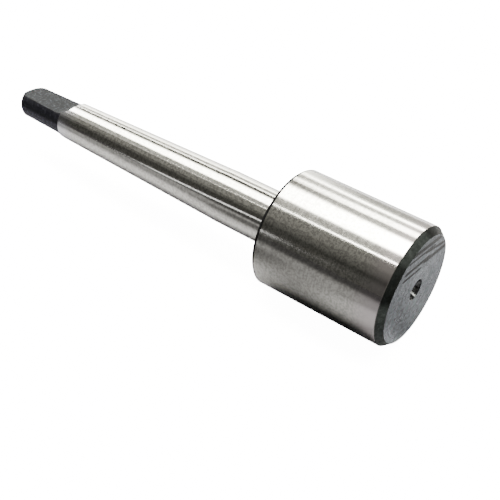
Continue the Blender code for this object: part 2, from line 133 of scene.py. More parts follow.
# Camera: it looks at CAMERA_TARGET from this azimuth and elevation, rolled about its own axis
CAMERA_TARGET = Vector((9.9, -1.0, -9.7)) * MM
CAMERA_DISTANCE = 200 * MM
CAMERA_AZIMUTH = math.radians(32.34)
CAMERA_ELEVATION = math.radians(34.13)
CAMERA_ROLL = math.radians(8.0)
CAMERA_LENS = 64.6
CAMERA_CLIP = (0.01, 20)

# Studio light, told by the angle round the tool's axis: 0 is overhead and 90 is towards -Y.
# Each lighting plan starts with the brightness behind the tool. Then come its changes, each
# as (angle where it starts, angle where it ends, brightness after it), so a bright strip of
# light is a rise followed by a fall. The plans follow one another along the axis.
LIGHT_OVER_SHANK = (4.6, (
    (-74, -71.5, 10.5),
    (-64, -60, 0.9),
    (-46, -39.5, 18),
    (-40.5, -39.5, 0.01),
    (-26.5, -13, 19),
    (8, 12, 0.60),
    (20, 30, 0.92),
    (31.5, 33, 0.30),
    (51, 54, 0.16),
    (58.5, 68, 0.07),
))
LIGHT_OVER_HEAD = (1.3, (
    (-102, -94, 0.9),
    (-73, -63.5, 2.8),
    (-64, -63, 20),
    (-59.5, -54.5, 2.1),
    (-47, -42, 18.5),
    (-33, -32, 1.55),
    (-21, -14, 33),
    (8.5, 14.5, 0.95),
    (28, 29, 32),
    (30, 31, 0.265),
    (46, 53.5, 0.165),
    (54, 70, 0.048),
    (68, 76.5, 0.09),
))
LIGHT_BEFORE_HEAD = (1.4, (
    (-84, -74, 0.35),
    (-21, -14, 24),
    (8.5, 14.5, 0.5),
    (20, 45, 0.16),
))
LIGHT_FAR_IN_FRONT = (3.0, (
    (-84, -74, 0.4),
    (10, 45, 0.16),
))

# Where one plan hands over to the next, by the X part of the direction to the light
SHANK_TO_HEAD = (-0.42, -0.39)
HEAD_TO_FRONT = (-0.20, -0.10)
FRONT_TO_FAR = (0.55, 0.62)
LIGHT_COLOUR = (1.0, 0.985, 0.88)
BACKDROP_BRIGHTNESS = 16.0

# Floor: its half width and the gap under the head in metres, and how bright it is to the camera
FLOOR_HALF_WIDTH = 4.0
FLOOR_GAP = 0.00002
FLOOR_GLOW = 14.0
FLOOR_ALBEDO = 0.8

# Light that the floor sends up to the tool, painted into the colour that the tool sees and a little bluer
# than what falls on it: most under the shank, less round it and least far away. Each fade is the distance
# where a change starts and where it ends.
SHANK_MIDDLE = -30.0
SHANK_HALF_LENGTH = 30.0
FLOOR_UNDER_SHANK = 0.23
FLOOR_ROUND_TOOL = 0.072
FLOOR_FAR = 0.012
FLOOR_BLUE_SHARE = 1.08
FLOOR_NEAR_FADE = (14.0, 30.0)
FLOOR_FAR_FADE = (50.0, 120.0)

# The floor behind the tool is painted lighter, so it sends up more, between these values of y
FLOOR_BEHIND = 0.40
FLOOR_BEHIND_FADE = (0.0, 150.0)

# A painted shadow beside the thick end of the taper, as ((x, y) of its middle, its fade, share of the
# light that is left), and painted pools of light beside the head and before its face, each as ((x, y) of
# its middle, its fade, light in its middle)
FLOOR_PAINTED_SHADOW = ((-3.0, -34.0), (8.0, 26.0), 0.4)
FLOOR_PAINTED_POOLS = (
    ((41.0, -25.0), (4.0, 17.0), 0.13),
    ((50.0, -7.0), (5.0, 11.0), 0.20),
)

# A slim reflector in front of the shank, from end to end in millimetres
REFLECTOR_ENDS = ((-28.0, -100.0, 19.2), (-92.0, -100.0, -9.5))
REFLECTOR_WIDTH = 8.0
REFLECTOR_BRIGHTNESS = 2.5

# Dark streaks across the top of the front face, painted where it reflects dark strips, each as (start,
# end, half width), where start and end are (y, z) in millimetres
FACE_PAINTED_REFLECTIONS = (
    ((-8.0, 10.9), (5.2, 10.0), 0.38),
    ((-6.5, 9.4), (3.5, 9.0), 0.20),
    ((0.5, 8.9), (8.4, 7.6), 0.26),
    ((-7.0, 7.3), (2.0, 7.1), 0.30),
    ((1.0, 6.6), (9.4, 6.3), 0.38),
    ((-7.5, 5.9), (-1.0, 5.7), 0.21),
)

# Painted light and shade, as multiples of the colour: the tang's upper half is painted dark and its lower
# half light, the chamfer is painted lighter where its sheen falls and darker elsewhere, and the face is
# painted darker towards its top. The tang's and the chamfer's plans go round the axis, told by the same
# angle as the light, and the face's goes with height. Each starts with the shade at the low end; then come
# its changes, as (where it starts, where it ends, shade after it).
TANG_PAINTED_SHADE = (2.6, ((-96, -84, 0.42), (84, 96, 2.6)))
EDGE_PAINTED_LIGHT = (0.4, ((-8, 6, 2.2), (36, 44, 0.9), (74, 90, 8.0)))
FACE_PAINTED_SHADE = (1.0, ((4.8, 6.2, 0.80), (8.0, 11.0, 0.56)))

# A streak's edge and an edge's wear fade between these shares of the half width. Past its ends
# a streak fades out slowly: the way past them counts for STREAK_END_SHARE.
STREAK_FADE = (0.7, 1.9)
STREAK_END_SHARE = 0.3
WEAR_FADE = (0.3, 1.0)

# Least distance from the axis, in millimetres, at which the way round it is still told
LEAST_RADIUS = 0.05

# How deep the surface marks are, and the turn that spreads highlights across them
BUMP_DEPTH = 0.02 * MM
ACROSS_MARKS = 0.25

# Smooth noise keeps mostly between these values
NOISE_SPAN = (0.3, 0.7)

# Heat leaves the ground steel bluish and duller beside the tang, and faintly purplish behind
# the front chamfer, each as (where the tint is full, where it has faded out, share of the
# steel's own colour, roughness added)
TANG_TINT = (-TAPER_LENGTH, -41.0, (0.90, 0.91, 1.03), 0.10)
FRONT_TINT = (HEAD_FRONT - FRONT_CHAMFER - 1.0, HEAD_FRONT - 9.0, (0.93, 0.87, 0.93), 0.0)


# ---- Meshes ----

def turned_mesh(name, outline):
    """Turn an outline of (x, radius) points in millimetres round the X axis.

    An outline that starts on the axis is solid; any other is closed into a ring.
    """
    work = bmesh.new()
    angles = [2 * math.pi * step / FACETS for step in range(FACETS)]
    rings = []
    for x, radius in outline:
        if radius == 0:
            rings.append([work.verts.new((MM * x, 0, 0))])
        else:
            rings.append([
                work.verts.new((MM * x, MM * radius * math.cos(angle), MM * radius * math.sin(angle)))
                for angle in angles
            ])
    followers = rings[1:]
    if outline[0][1] > 0:
        followers = rings[1:] + rings[:1]
    for ring, follower in zip(rings, followers):
        for step in range(FACETS):
            following = (step + 1) % FACETS
            corners = [ring[step % len(ring)], ring[following % len(ring)]]
            corners += [follower[following % len(follower)], follower[step % len(follower)]]
            work.faces.new(list(dict.fromkeys(corners)))
    return mesh_from(name, work)


def mesh_from(name, work):
    """Turn the bmesh into a mesh whose faces point out, and free it."""
    bmesh.ops.recalc_face_normals(work, faces=work.faces)
    mesh = bpy.data.meshes.new(name)
    work.to_mesh(mesh)
    work.free()
    return mesh


def eased(outline, size):
    """Break every corner of a turned outline with a small round; its ends on the axis stay.

    A holding point beside each round keeps the shading of the long faces true.
    """
    closed = outline[0][1] > 0
    points = [Vector(point) for point in outline]
    result = []
    for index, corner in enumerate(points):
        ends = index in (0, len(points) - 1)
        if ends and not closed:
            result.append(tuple(corner))
            continue
        before = points[index - 1] - corner
        after = points[(index + 1) % len(points)] - corner
        turn = math.pi - before.angle(after)
        if turn < LEAST_TURN:
            result.append(tuple(corner))
            continue
        shorter_side = min(before.length, after.length)
        reach = min(size * math.tan(turn / 2), MOST_OF_SIDE * shorter_side)
        start = corner + before.normalized() * reach
        end = corner + after.normalized() * reach
        result.append(tuple(corner + before.normalized() * reach * HOLDING))
        for step in range(EDGE_STEPS + 1):
            t = step / EDGE_STEPS
            point = start * (1 - t) ** 2 + corner * 2 * t * (1 - t) + end * t ** 2
            result.append(tuple(point))
        result.append(tuple(corner + after.normalized() * reach * HOLDING))
    return result


def add_object(name, mesh):
    thing = bpy.data.objects.new(name, mesh)
    bpy.context.scene.collection.objects.link(thing)
    return thing


def smooth(mesh):
    mesh.shade_smooth()
    mesh.set_sharp_from_angle(angle=SHARP_TURN)


def cut_with(piece, cutters):
    """Cut the piece with each cutter, keep the result in its mesh and remove the cutters."""
    for cutter in cutters:
        modifier = piece.modifiers.new(cutter.name, "BOOLEAN")
        modifier.operation = "DIFFERENCE"
        modifier.solver = "EXACT"
        modifier.object = cutter
    keep_modifiers(piece)
    for cutter in cutters:
        bpy.data.objects.remove(cutter, do_unlink=True)


def keep_modifiers(piece):
    """Replace the piece's mesh with what its modifiers make of it, and drop them."""
    bpy.context.view_layer.update()
    evaluated = piece.evaluated_get(bpy.context.evaluated_depsgraph_get())
    made = bpy.data.meshes.new_from_object(evaluated)
    piece.modifiers.clear()
    piece.data = made


def tang_cutter(side):
    """The space that a round-edged form cutter mills away beyond one flat of the tang."""
    end_of_arc = math.asin(1 - TANG_CUTTER_RISE / TANG_CUTTER_RADIUS)
    start = TANG_END - OVERCUT
    top = GAUGE_RADIUS + OVERCUT
    half_width = MM * (GAUGE_RADIUS + OVERCUT)
    profile = [(start, TANG_HALF_THICKNESS)]
    for step in range(CUTTER_STEPS + 1):
        angle = -math.pi / 2 + (math.pi / 2 - end_of_arc) * step / CUTTER_STEPS
        x = TANG_FLAT_END + TANG_CUTTER_RADIUS * math.cos(angle)
        z = TANG_HALF_THICKNESS + TANG_CUTTER_RADIUS * (1 + math.sin(angle))
        profile.append((x, z))
    profile += [(profile[-1][0], top), (start, top)]
    work = bmesh.new()
    near = [work.verts.new((MM * x, -half_width, MM * side * z)) for x, z in profile]
    far = [work.verts.new((MM * x, half_width, MM * side * z)) for x, z in profile]
    work.faces.new(near)
    work.faces.new(far)
    for step in range(len(profile)):
        following = (step + 1) % len(profile)
        work.faces.new([near[step], near[following], far[following], far[step]])
    return add_object("tang_cutter", mesh_from("tang_cutter", work))


def make_arbor():
    """Tang, taper, collar and stepped spindle, with eased edges."""
    centre_depth = GRINDING_CENTRE_RADIUS / math.tan(CENTRE_HALF_ANGLE)
    small_end = -TAPER_LENGTH
    small_radius = GAUGE_RADIUS - TAPER_PER_MM * TAPER_LENGTH
    outline = [(TANG_END + centre_depth, 0), (TANG_END, GRINDING_CENTRE_RADIUS)]
    for step in range(TANG_CORNER_STEPS + 1):
        angle = math.pi - math.pi / 2 * step / TANG_CORNER_STEPS
        x = TANG_END + TANG_CORNER * (1 + math.cos(angle))
        outline.append((x, TANG_RADIUS - TANG_CORNER * (1 - math.sin(angle))))
    outline += [
        (small_end, small_radius - SMALL_END_CHAMFER),
        (small_end + SMALL_END_CHAMFER, small_radius),
        (0, GAUGE_RADIUS),
        (COLLAR_BLEND, COLLAR_RADIUS),
        (BEARING_SEAT_START, COLLAR_RADIUS),
    ]
    start = BEARING_SEAT_START
    for end, radius in SPINDLE_STEPS:
        outline += [(start, radius), (end, radius)]
        start = end
    outline += [(SPINDLE_END, GRINDING_CENTRE_RADIUS), (SPINDLE_END - centre_depth, 0)]
    arbor = add_object("arbor", turned_mesh("arbor", eased(outline, ARBOR_EDGE)))
    cut_with(arbor, [tang_cutter(1), tang_cutter(-1)])
    smooth(arbor.data)
    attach(arbor, "arbor")
    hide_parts("taper_arbor")
    return arbor


def make_head():
    """The rotating shell with its bore, front chamfer and centre hole."""
    countersink_depth = (CENTRE_HOLE_RADIUS - CENTRE_PILOT_RADIUS) / math.tan(CENTRE_HALF_ANGLE)
    countersink_end = HEAD_FRONT - countersink_depth
    pilot_end = countersink_end - CENTRE_PILOT_LENGTH
    mouth = BORE_STEPS[-1][1]
    outline = [(BORE_STEPS[0][0], 0)]
    ends = [end for end, radius in BORE_STEPS[1:]] + [HEAD_BACK + BORE_CHAMFER]
    for (start, radius), end in zip(BORE_STEPS, ends):
        outline += [(start, radius), (end, radius)]
    outline += [
        (HEAD_BACK, mouth + BORE_CHAMFER),
        (HEAD_BACK, HEAD_RADIUS - BACK_CHAMFER),
        (HEAD_BACK + BACK_CHAMFER, HEAD_RADIUS),
        (HEAD_BACK + BACK_CHAMFER + RIM_BAND, HEAD_RADIUS),
        (HEAD_FRONT - FRONT_CHAMFER, HEAD_RADIUS),
        (HEAD_FRONT, FACE_RADIUS),
        (HEAD_FRONT, CENTRE_HOLE_RADIUS),
        (countersink_end, CENTRE_PILOT_RADIUS),
        (pilot_end, CENTRE_PILOT_RADIUS),
        (pilot_end - CENTRE_PILOT_RADIUS / math.tan(DRILL_HALF_ANGLE), 0),
    ]
    head = add_object("head", turned_mesh("head", eased(outline, HEAD_EDGE)))
    smooth(head.data)
    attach(head, "head")
    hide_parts("rotating_head")
    return head


# ---- Materials ----

class Nodes:
    """Short calls that add and link shader nodes in one material or world."""

    def __init__(self, tree):
        self.tree = tree
        self.tree.nodes.clear()

    def new(self, kind, inputs=(), **settings):
        node = self.tree.nodes.new(kind)
        for key, value in settings.items():
            setattr(node, key, value)
        for key, value in dict(inputs).items():
            if isinstance(value, bpy.types.NodeSocket):
                self.tree.links.new(value, node.inputs[key])
            else:
                node.inputs[key].default_value = value
        return node

    def math(self, operation, *values):
        return self.new("ShaderNodeMath", enumerate(values), operation=operation).outputs[0]

    def ramp(self, value, low, high, to_low=0.0, to_high=1.0):
        """Smooth step from to_low at low to to_high at high."""
        names = {"Value": value, "From Min": low, "From Max": high, "To Min": to_low, "To Max": to_high}
        return self.new("ShaderNodeMapRange", names, interpolation_type="SMOOTHSTEP").outputs[0]

    def mix(self, factor, first, second):
        return self.new("ShaderNodeMix", {0: factor, 2: first, 3: second}).outputs[0]

    def mix_colour(self, factor, first, second):
        node = self.new("ShaderNodeMix", data_type="RGBA")
        for index, value in ((0, factor), (6, first), (7, second)):
            if isinstance(value, bpy.types.NodeSocket):
                self.tree.links.new(value, node.inputs[index])
            elif index == 0:
                node.inputs[index].default_value = value
            else:
                node.inputs[index].default_value = (*value, 1.0)
        return node.outputs[2]

    def distance(self, value, other):
        return self.math("ABSOLUTE", self.math("SUBTRACT", value, other))

    def noise(self, vector, scale, detail, roughness=0.6):
        inputs = {"Vector": vector, "Scale": scale, "Detail": detail, "Roughness": roughness}
        return self.new("ShaderNodeTexNoise", inputs).outputs[0]

    def angle_round(self, y, z):
        """Degrees round the X axis: 0 is up and 90 is towards -Y."""
        return self.math("DEGREES", self.math("ARCTAN2", self.math("MULTIPLY", y, -1.0), z))

    def steps(self, value, plan):
        """Follow a plan of changes: a first level, then (start, end, level after it) each."""
        level, changes = plan
        for start, end, after in changes:
            level = self.mix(self.ramp(value, start, end), level, after)
        return level

    def combine(self, x, y, z):
        return self.new("ShaderNodeCombineXYZ", {0: x, 1: y, 2: z}).outputs[0]


class TurnedPlace(Nodes):
    """Nodes that know where a point is on a piece turned round the X axis, in millimetres."""

    def __init__(self, tree):
        super().__init__(tree)
        place = self.new("ShaderNodeTexCoord").outputs["Object"]
        in_mm = self.new("ShaderNodeVectorMath", {0: place, "Scale": 1 / MM}, operation="SCALE")
        self.place = in_mm.outputs[0]
        parts = self.new("ShaderNodeSeparateXYZ", {0: self.place})
        self.x, self.y, self.z = parts.outputs
        y_squared = self.math("MULTIPLY", self.y, self.y)
        z_squared = self.math("MULTIPLY", self.z, self.z)
        self.radius = self.math("SQRT", self.math("ADD", y_squared, z_squared))
        safe_radius = self.math("MAXIMUM", self.radius, LEAST_RADIUS)
        self.round_y = self.math("DIVIDE", self.y, safe_radius)
        self.round_z = self.math("DIVIDE", self.z, safe_radius)
        self.along = self.math("ADD", self.x, self.radius)

    def from_streak(self, start, end):
        """Distance, seen along the axis, from the line between two (y, z) places."""
        run = Vector(end) - Vector(start)
        way = run.normalized()
        dy = self.math("SUBTRACT", self.y, start[0])
        dz = self.math("SUBTRACT", self.z, start[1])
        reach = self.math("ADD", self.math("MULTIPLY", dy, way.x), self.math("MULTIPLY", dz, way.y))
        beside = self.distance(self.math("MULTIPLY", dz, way.x), self.math("MULTIPLY", dy, way.y))
        short = self.math("MULTIPLY", reach, -1.0)
        beyond = self.math("MAXIMUM", short, self.math("SUBTRACT", reach, run.length))
        beyond = self.math("MULTIPLY", self.math("MAXIMUM", beyond, 0.0), STREAK_END_SHARE)
        return self.math("ADD", beside, beyond)

    def painted_shading(self, colour, value, plan):
        """The colour with painted light and shade: made darker or lighter as the value follows a plan."""
        inputs = {0: colour, "Scale": self.steps(value, plan)}
        return self.new("ShaderNodeVectorMath", inputs, operation="SCALE").outputs[0]

    def ring_marks(self, per_mm, arcs, detail):
        """Noise drawn out round the axis, as the marks of a grinding wheel or a lathe tool are.

        arcs says how quickly a mark changes round the piece; 0 gives full rings.
        """
        spread = self.combine(
            self.math("MULTIPLY", self.along, per_mm),
            self.math("MULTIPLY", self.round_y, arcs),
            self.math("MULTIPLY", self.round_z, arcs),
        )
        return self.noise(spread, scale=1.0, detail=detail)


def new_material(name):
    material = bpy.data.materials.new(name)
    material.use_nodes = True
    return material, TurnedPlace(material.node_tree)


def scaled(values, factor):
    return [factor * value for value in values]


def tinted(colour, shares):
    return [share * value for share, value in zip(shares, colour)]


def finish_metal(nodes, colour, roughness, height, bump_strength, metallic, anisotropic, specular=0.5):
    """Finish the material with a principled surface whose highlights spread across the marks."""
    bump_inputs = {"Height": height, "Strength": bump_strength, "Distance": BUMP_DEPTH}
    bump = nodes.new("ShaderNodeBump", bump_inputs)
    tangent = nodes.new("ShaderNodeTangent", direction_type="RADIAL", axis="X")
    shader = nodes.new("ShaderNodeBsdfPrincipled", {
        "Base Color": colour,
        "Roughness": roughness,
        "Normal": bump.outputs[0],
        "Tangent": tangent.outputs[0],
        "Metallic": metallic,
        "Specular IOR Level": specular,
        "Anisotropic": anisotropic,
        "Anisotropic Rotation": ACROSS_MARKS,
    })
    nodes.new("ShaderNodeOutputMaterial", {"Surface": shader.outputs[0]})


def ground_steel(name, base, roughness, marks_per_mm, tint):
    """Bright steel, cylindrically ground: fine rings, gloss bands, a few stains, a heat tint."""
    material, nodes = new_material(name)
    fine = nodes.ring_marks(per_mm=marks_per_mm, arcs=2.5, detail=3.0)
    coarse = nodes.ring_marks(per_mm=0.9, arcs=0.4, detail=2.0)
    grain = nodes.noise(nodes.place, scale=1.8, detail=4.0, roughness=0.7)
    stain = nodes.noise(nodes.place, scale=0.30, detail=4.0, roughness=0.65)
    mottle = nodes.mix(0.22, grain, fine)
    colour = nodes.mix_colour(nodes.ramp(mottle, 0.42, 0.56), scaled(base, 0.66), base)
    warm = tinted(base, (0.92, 0.88, 0.80))
    colour = nodes.mix_colour(nodes.ramp(stain, 0.55, 0.75, to_high=0.3), colour, warm)
    gloss = nodes.mix(0.4, coarse, fine)
    spread = nodes.ramp(gloss, 0.32, 0.68, roughness * 0.85, roughness * 1.2)
    full, faded, shares, duller = tint
    heated = nodes.ramp(nodes.x, full, faded, 0.9, 0.0)
    colour = nodes.mix_colour(heated, colour, tinted(base, shares))
    spread = nodes.math("ADD", spread, nodes.math("MULTIPLY", heated, duller))
    finish_metal(nodes, colour, spread, fine, bump_strength=0.05, metallic=1.0, anisotropic=0.9)
    return material


def streaked(nodes, colour, ragged, streaks, painted_reflection_colour):
    """The colour, with a ragged dark line of painted reflection drawn along each streak."""
    for start, end, half_width in streaks:
        away = nodes.from_streak(start, end)
        depth = nodes.ramp(away, *scaled(STREAK_FADE, half_width), 1.0, 0.0)
        depth = nodes.math("MULTIPLY", depth, nodes.ramp(ragged, 0.25, 0.5, 0.8, 1.0))
        colour = nodes.mix_colour(depth, colour, painted_reflection_colour)
    return colour


def worn_edges(nodes, colour, ragged, worn, bare_colour):
    """The colour, worn through to bare steel in patches along each (x, radius, half width)."""
    for x, radius, half_width in worn:
        from_edge = nodes.math("ADD", nodes.distance(nodes.x, x), nodes.distance(nodes.radius, radius))
        wear = nodes.ramp(from_edge, *scaled(WEAR_FADE, half_width), 0.8, 0.0)
        wear = nodes.math("MULTIPLY", wear, nodes.ramp(ragged, 0.40, 0.62))
        colour = nodes.mix_colour(wear, colour, bare_colour)
    return colour


def blued_steel(name, light, dark, roughness, anisotropic, worn=(), streaks=(), painted_shades=None):
    """Steel under blue-black scale: turned rings, thin spots and worn edges, with streaks of painted dark
    reflection.

    painted_shades is a plan of painted shade: how the colour is made darker or lighter with height.
    """
    material, nodes = new_material(name)
    fine = nodes.ring_marks(per_mm=6.0, arcs=1.2, detail=3.0)
    turned = nodes.ring_marks(per_mm=1.5, arcs=0.8, detail=3.0)
    patch = nodes.noise(nodes.place, scale=0.45, detail=5.0, roughness=0.6)
    grain = nodes.noise(nodes.place, scale=1.4, detail=4.0, roughness=0.8)
    ragged = nodes.noise(nodes.place, scale=1.6, detail=4.0, roughness=0.65)
    colour = nodes.mix_colour(nodes.ramp(fine, 0.32, 0.68), dark, light)
    colour = nodes.mix_colour(nodes.ramp(turned, 0.36, 0.50, 0.45, 0.0), colour, scaled(dark, 0.6))
    colour = nodes.mix_colour(nodes.ramp(grain, 0.38, 0.56, 0.75, 0.0), colour, scaled(dark, 0.5))
    greenish = tinted(dark, (0.9, 1.05, 0.98))
    colour = nodes.mix_colour(nodes.ramp(patch, 0.5, 0.72, to_high=0.6), colour, greenish)
    colour = streaked(nodes, colour, ragged, streaks, scaled(dark, 0.04))
    colour = worn_edges(nodes, colour, ragged, worn, (0.34, 0.35, 0.36))
    # Painted shade: the colour is made darker or lighter with height, as the plan says
    if painted_shades is not None:
        colour = nodes.painted_shading(colour, nodes.z, painted_shades)
    spread = nodes.ramp(patch, *NOISE_SPAN, roughness * 0.85, roughness * 1.2)
    finish_metal(nodes, colour, spread, fine, 0.3, metallic=0.9, anisotropic=anisotropic)
    return material


def dead_scale(name, light, dark, roughness, specular, rubbed_shade=2.2, painted_shades=None):
    """Thick dull heat-treatment scale, nearly black, with a few spots rubbed lighter.

    painted_shades is a plan of painted light and shade: how the colour is made darker or lighter round the
    axis.
    """
    material, nodes = new_material(name)
    fine = nodes.ring_marks(per_mm=4.0, arcs=1.5, detail=3.0)
    patch = nodes.noise(nodes.place, scale=0.9, detail=5.0, roughness=0.65)
    rubbed = nodes.noise(nodes.place, scale=1.6, detail=3.0, roughness=0.7)
    colour = nodes.mix_colour(nodes.ramp(patch, 0.32, 0.68), dark, light)
    lighter = scaled(light, rubbed_shade)
    colour = nodes.mix_colour(nodes.ramp(rubbed, 0.50, 0.66, to_high=0.7), colour, lighter)
    # Painted light and shade: the colour is made darker or lighter round the axis, as the plan says
    if painted_shades is not None:
        colour = nodes.painted_shading(colour, nodes.angle_round(nodes.y, nodes.z), painted_shades)
    spread = nodes.ramp(patch, *NOISE_SPAN, roughness * 0.9, roughness * 1.1)
    finish_metal(nodes, colour, spread, fine, 0.3, metallic=0.0, anisotropic=0.0, specular=specular)
    return material


def bearing_steel():
    """Hardened and lapped: mirror bright, with faint rings and a trace of grease."""
    material, nodes = new_material("bearing_steel")
    dull, bright, grease = (0.62, 0.62, 0.63), (0.74, 0.74, 0.75), (0.50, 0.46, 0.36)
    fine = nodes.ring_marks(per_mm=9.0, arcs=1.5, detail=2.0)
    smear = nodes.noise(nodes.place, scale=0.6, detail=4.0, roughness=0.6)
    colour = nodes.mix_colour(nodes.ramp(fine, *NOISE_SPAN), dull, bright)
    colour = nodes.mix_colour(nodes.ramp(smear, 0.52, 0.72, to_high=0.4), colour, grease)
    roughness = nodes.ramp(smear, *NOISE_SPAN, 0.08, 0.22)
    finish_metal(nodes, colour, roughness, fine, 0.04, metallic=1.0, anisotropic=0.4)
    return material


def cage_brass():
    """Machined brass, browned in patches."""
    material, nodes = new_material("cage_brass")
    dull, bright, brown = (0.62, 0.43, 0.17), (0.80, 0.60, 0.29), (0.38, 0.24, 0.10)
    fine = nodes.ring_marks(per_mm=6.0, arcs=2.0, detail=3.0)
    tarnish = nodes.noise(nodes.place, scale=0.7, detail=4.0, roughness=0.6)
    colour = nodes.mix_colour(nodes.ramp(fine, *NOISE_SPAN), dull, bright)
    colour = nodes.mix_colour(nodes.ramp(tarnish, 0.48, 0.72, to_high=0.6), colour, brown)
    roughness = nodes.ramp(tarnish, *NOISE_SPAN, 0.22, 0.42)
    finish_metal(nodes, colour, roughness, fine, 0.15, metallic=1.0, anisotropic=0.3)
    return material


def spring_steel():
    """Rolled strip, blackened in oil, with the scale thin in places."""
    material, nodes = new_material("spring_steel")
    black, grey, bare = (0.05, 0.05, 0.055), (0.11, 0.11, 0.12), (0.30, 0.29, 0.27)
    rolled = nodes.ring_marks(per_mm=4.0, arcs=5.0, detail=4.0)
    thin = nodes.noise(nodes.place, scale=1.1, detail=4.0, roughness=0.65)
    colour = nodes.mix_colour(nodes.ramp(rolled, *NOISE_SPAN), black, grey)
    colour = nodes.mix_colour(nodes.ramp(thin, 0.55, 0.75, to_high=0.7), colour, bare)
    roughness = nodes.ramp(thin, *NOISE_SPAN, 0.32, 0.5)
    finish_metal(nodes, colour, roughness, rolled, 0.2, metallic=0.9, anisotropic=0.2)
    return material


def pressed_steel():
    """Drawn sheet: soft shine, with draw marks along the axis."""
    material, nodes = new_material("pressed_steel")
    dark, bright, soiled = (0.44, 0.44, 0.45), (0.62, 0.62, 0.63), (0.36, 0.34, 0.31)
    along, across = 0.4, 5.0
    stretched = nodes.combine(
        nodes.math("MULTIPLY", nodes.x, along),
        nodes.math("MULTIPLY", nodes.y, across),
        nodes.math("MULTIPLY", nodes.z, across),
    )
    drawn = nodes.noise(stretched, scale=1.0, detail=3.0)
    dull = nodes.noise(nodes.place, scale=0.8, detail=3.0, roughness=0.6)
    colour = nodes.mix_colour(nodes.ramp(drawn, *NOISE_SPAN), dark, bright)
    colour = nodes.mix_colour(nodes.ramp(dull, 0.5, 0.72, to_high=0.5), colour, soiled)
    roughness = nodes.ramp(dull, *NOISE_SPAN, 0.26, 0.42)
    finish_metal(nodes, colour, roughness, drawn, 0.2, metallic=1.0, anisotropic=0.0)
    return material


def seal_rubber():
    """Moulded nitrile rubber: matt black with a dusty bloom and a faint mould grain."""
    material, nodes = new_material("seal_rubber")
    black, worn_black, dusty = (0.012, 0.012, 0.013), (0.026, 0.026, 0.027), (0.07, 0.068, 0.064)
    grain = nodes.noise(nodes.place, scale=9.0, detail=3.0, roughness=0.6)
    bloom = nodes.noise(nodes.place, scale=0.9, detail=4.0, roughness=0.6)
    colour = nodes.mix_colour(nodes.ramp(grain, *NOISE_SPAN), black, worn_black)
    colour = nodes.mix_colour(nodes.ramp(bloom, 0.5, 0.75, to_high=0.6), colour, dusty)
    roughness = nodes.ramp(bloom, *NOISE_SPAN, 0.48, 0.68)
    finish_metal(nodes, colour, roughness, grain, 0.3, metallic=0.0, anisotropic=0.0)
    return material


def assign_by_place(piece, materials, choose):
    """Give each face the material that choose(centre, normal) names by its index.

    The centre is in millimetres.
    """
    piece.data.materials.clear()
    for material in materials:
        piece.data.materials.append(material)
    for face in piece.data.polygons:
        face.material_index = choose(face.center / MM, face.normal)


def finish_inner_pieces(materials):
    """Give each CAD node that stays visible the finish of its slot in the record."""
    for row in frame["record"]["subparts"]:
        if row["material_slot"] not in materials:
            continue
        mesh = frame["nodes"][row["node"]].data
        mesh.materials.clear()
        mesh.materials.append(materials[row["material_slot"]])


def arbor_zone(centre, normal):
    """0 for the ground shank and spindle, 1 for the turned tang, 2 for its milled flats."""
    milled = abs(normal.y) < SIDEWAYS_NORMAL and abs(normal.z) > MILLED_NORMAL
    if milled and centre.x < TANG_FLAT_END + TANG_CUTTER_RADIUS:
        return 2
    return 1 if centre.x < -TAPER_LENGTH + FACE_MARGIN else 0


def head_zone(centre, normal):
    """0 ground outside, 1 turned face and bore, 2 front chamfer, 3 centre hole painted dark as shade, 4
    back rim painted black as shadow.
    """
    off_axis = centre.yz.length
    if off_axis < CENTRE_HOLE_RADIUS and centre.x > BORE_STEPS[0][0] + HOLE_MARGIN:
        return 3
    if centre.x > HEAD_FRONT - FACE_MARGIN or off_axis < BORE_STEPS[-1][1] + BORE_MARGIN:
        return 1
    if centre.x > HEAD_FRONT - FRONT_CHAMFER + CHAMFER_MARGIN:
        return 2
    return 4 if centre.x < HEAD_BACK + BACK_CHAMFER + RIM_BAND else 0


# ---- Studio ----

def make_world():
    """Light from long strips beside and above the tool; the camera sees a plain pale backdrop."""
    world = bpy.data.worlds.new("studio")
    bpy.context.scene.world = world
    world.use_nodes = True
    nodes = Nodes(world.node_tree)
    direction = nodes.new("ShaderNodeTexCoord").outputs["Generated"]
    x, y, z = nodes.new("ShaderNodeSeparateXYZ", {0: direction}).outputs
    angle = nodes.angle_round(y, z)
    light = nodes.steps(angle, LIGHT_OVER_SHANK)
    for change, plan in (
        (SHANK_TO_HEAD, LIGHT_OVER_HEAD),
        (HEAD_TO_FRONT, LIGHT_BEFORE_HEAD),
        (FRONT_TO_FAR, LIGHT_FAR_IN_FRONT),
    ):
        light = nodes.mix(nodes.ramp(x, *change), light, nodes.steps(angle, plan))
    strips = nodes.new("ShaderNodeBackground", {"Color": (*LIGHT_COLOUR, 1.0), "Strength": light})
    white = (1.0, 1.0, 1.0, 1.0)
    backdrop = nodes.new("ShaderNodeBackground", {"Color": white, "Strength": BACKDROP_BRIGHTNESS})
    seen = nodes.new("ShaderNodeLightPath").outputs["Is Camera Ray"]
    mix = nodes.new("ShaderNodeMixShader", {0: seen, 1: strips.outputs[0], 2: backdrop.outputs[0]})
    nodes.new("ShaderNodeOutputWorld", {"Surface": mix.outputs[0]})


